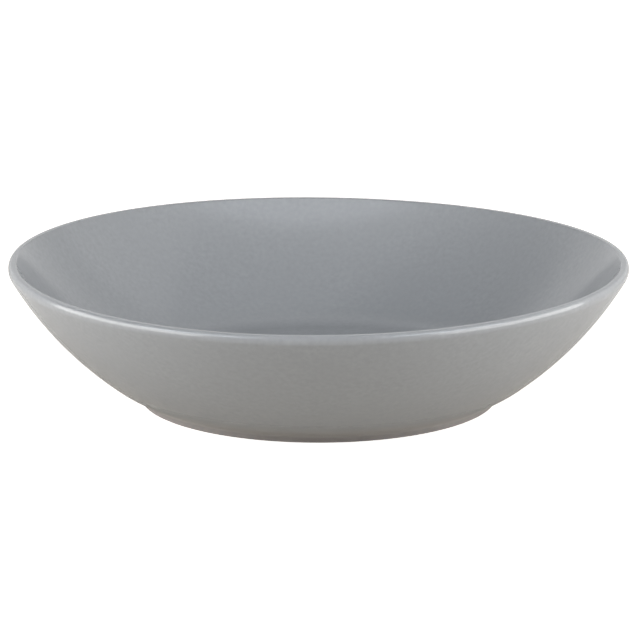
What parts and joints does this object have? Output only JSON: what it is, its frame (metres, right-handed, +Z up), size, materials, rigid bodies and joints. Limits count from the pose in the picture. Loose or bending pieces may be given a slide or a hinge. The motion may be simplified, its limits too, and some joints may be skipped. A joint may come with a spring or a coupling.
{
  "type": "pasta bowl",
  "caption": "Wide, shallow round pasta bowl in grey satin-glazed stoneware, with a flaring curved wall, a rounded lip, a flat well and a low foot ring.",
  "frame": {"origin": "centre of the foot ring's contact plane, on the bowl's axis", "axes": "+Z up along the bowl's axis, out of its mouth; X and Y are any two level directions, because the bowl is round"},
  "size_m": [0.23, 0.23, 0.053],
  "materials": {
    "stoneware_clay": "bare fired clay, matt and finely gritty",
    "satin_glaze": "satin"
  },
  "bodies": {
    "root": {"stoneware_body": "stoneware_clay", "glaze_coat": "satin_glaze", "base_glaze": "satin_glaze"}
  },
  "joints": []
}
